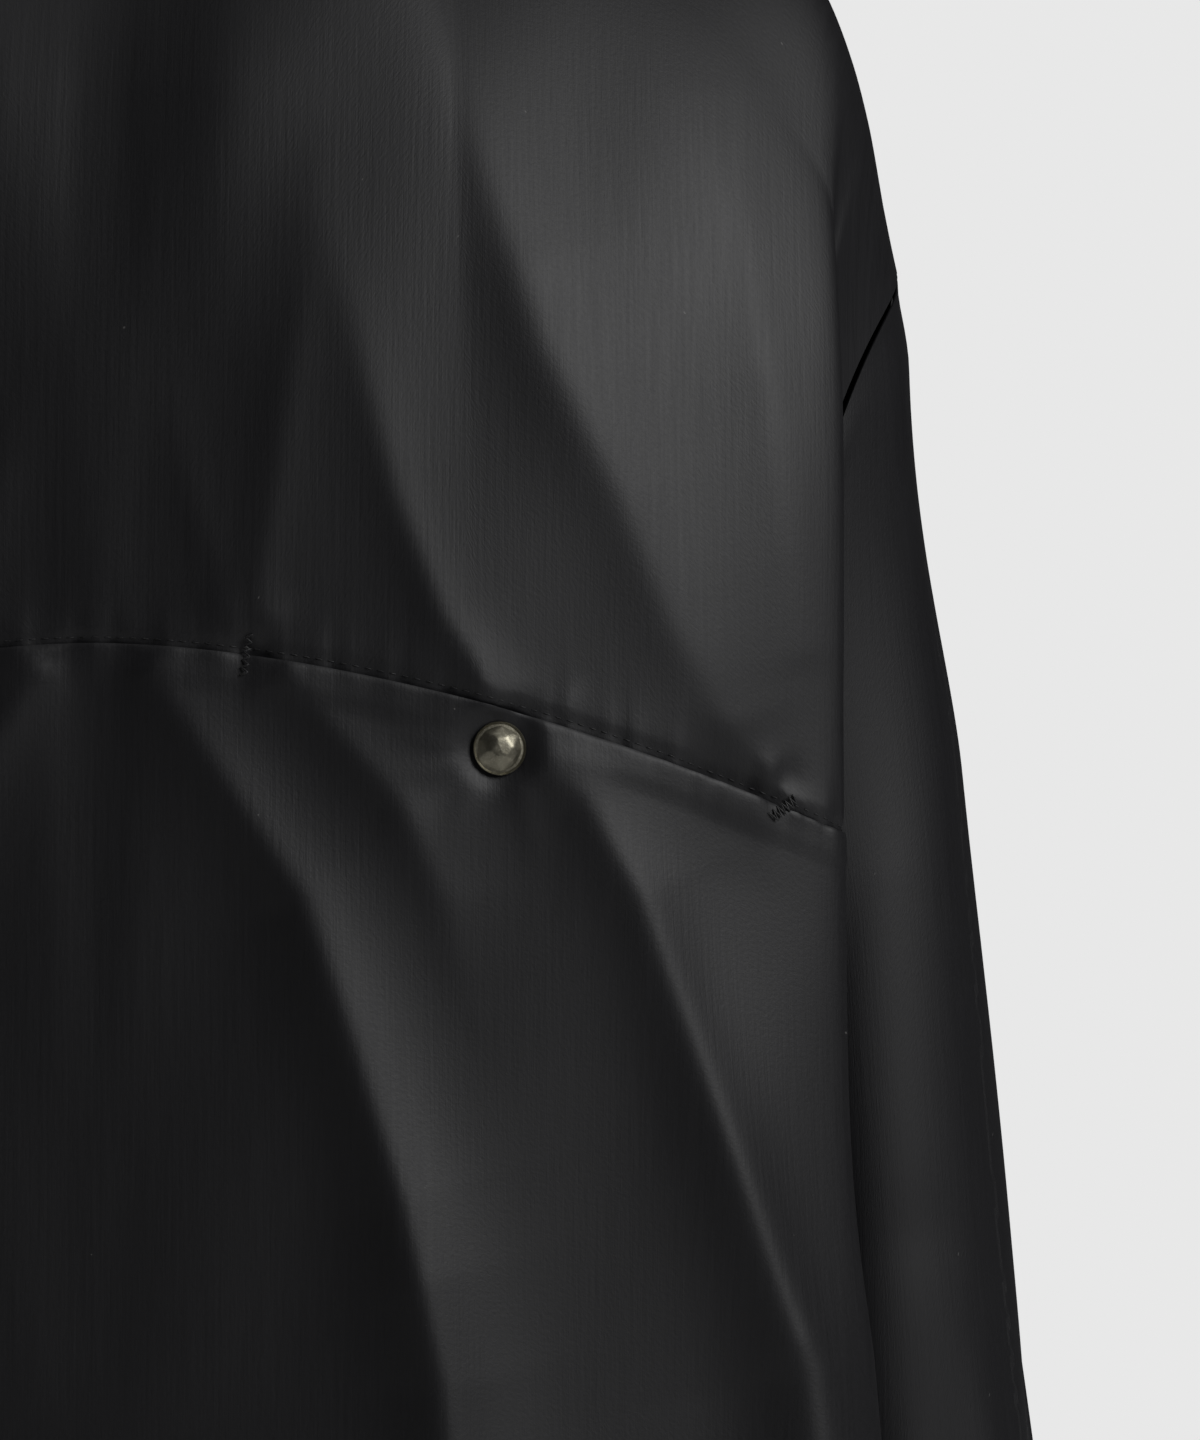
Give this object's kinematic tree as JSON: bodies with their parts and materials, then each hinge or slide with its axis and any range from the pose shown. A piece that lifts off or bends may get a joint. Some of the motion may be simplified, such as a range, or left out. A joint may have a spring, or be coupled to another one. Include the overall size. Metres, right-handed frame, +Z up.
{
  "type": "barber cape",
  "caption": "Long-sleeved barber cape in black taffeta with an A-line body, a curved chest seam, snap-closed seam pockets, elastic cuffs and a back opening with press snaps.",
  "frame": {"origin": "the mount neck, at the centre of the neckline, level with the shoulder seams' neck ends, where the wearer's neck and shoulders hold the cape up", "axes": "+Z is up along the wearer, -Y is the front, and +X is the wearer's left"},
  "size_m": [0.6572, 0.4036, 1.0759],
  "materials": {
    "cloth": "satin",
    "elastic": "matte",
    "thread": "matte",
    "antique_brass": "satin",
    "snap_steel": "satin"
  },
  "bodies": {
    "gown": {"yoke_front": "cloth", "front_panel": "cloth", "neckband_front": "cloth", "back_side_left": "cloth", "back_side_right": "cloth", "pocket_bag_left": "cloth", "pocket_bag_right": "cloth", "tack_inner_left": "thread", "tack_inner_right": "thread", "tack_outer_left": "thread", "tack_outer_right": "thread", "pocket_snap_left_stud": "snap_steel", "pocket_snap_left_post": "snap_steel", "pocket_snap_right_stud": "snap_steel", "pocket_snap_right_post": "snap_steel"},
    "back_left": {"back_flap_left": "cloth", "neckband_back_left": "cloth", "neck_snap_cap": "antique_brass", "neck_snap_socket": "snap_steel", "back_snap_1_cap": "antique_brass", "back_snap_1_socket": "snap_steel", "back_snap_2_cap": "antique_brass", "back_snap_2_socket": "snap_steel", "back_snap_3_cap": "antique_brass", "back_snap_3_socket": "snap_steel"},
    "back_right": {"back_flap_right": "cloth", "neckband_back_right": "cloth", "neck_snap_stud": "snap_steel", "neck_snap_post": "snap_steel", "back_snap_1_stud": "snap_steel", "back_snap_1_post": "snap_steel", "back_snap_2_stud": "snap_steel", "back_snap_2_post": "snap_steel", "back_snap_3_stud": "snap_steel", "back_snap_3_post": "snap_steel"},
    "arm_left": {"sleeve_left": "cloth", "cuff_left": "cloth", "elastic_left": "elastic"},
    "arm_right": {"sleeve_right": "cloth", "cuff_right": "cloth", "elastic_right": "elastic"},
    "lip_left": {"pocket_lip_left": "cloth", "pocket_snap_left_cap": "antique_brass", "pocket_snap_left_socket": "snap_steel"},
    "lip_right": {"pocket_lip_right": "cloth", "pocket_snap_right_cap": "antique_brass", "pocket_snap_right_socket": "snap_steel"}
  },
  "joints": [
    {"name": "back_left_open", "type": "hinge", "parent": "gown", "child": "back_left", "pos_m": [0.10058, 0.0905, 0], "axis": [0.1796, 0.055, -0.9822], "range_deg": [0, 55]},
    {"name": "back_right_open", "type": "hinge", "parent": "gown", "child": "back_right", "pos_m": [-0.10058, 0.0905, 0], "axis": [0.1796, -0.055, 0.9822], "range_deg": [0, 33]},
    {"name": "sleeve_left_raise", "type": "hinge", "parent": "gown", "child": "arm_left", "pos_m": [0.19, 0, -0.06], "axis": [0, -1, 0], "range_deg": [0, 75]},
    {"name": "sleeve_right_raise", "type": "hinge", "parent": "gown", "child": "arm_right", "pos_m": [-0.19, 0, -0.06], "axis": [0, 1, 0], "range_deg": [0, 75]},
    {"name": "pocket_left_open", "type": "hinge", "parent": "gown", "child": "lip_left", "pos_m": [0.11825, -0.125, -0.32375], "axis": [0.9389, 0.2191, -0.2656], "range_deg": [0, 30]},
    {"name": "pocket_right_open", "type": "hinge", "parent": "gown", "child": "lip_right", "pos_m": [-0.11825, -0.125, -0.32375], "axis": [0.9389, -0.2191, 0.2656], "range_deg": [0, 30]}
  ],
  "couplings": [
    {"joint": "back_right_open", "follows": "back_left_open", "ratio": 0.6}
  ]
}
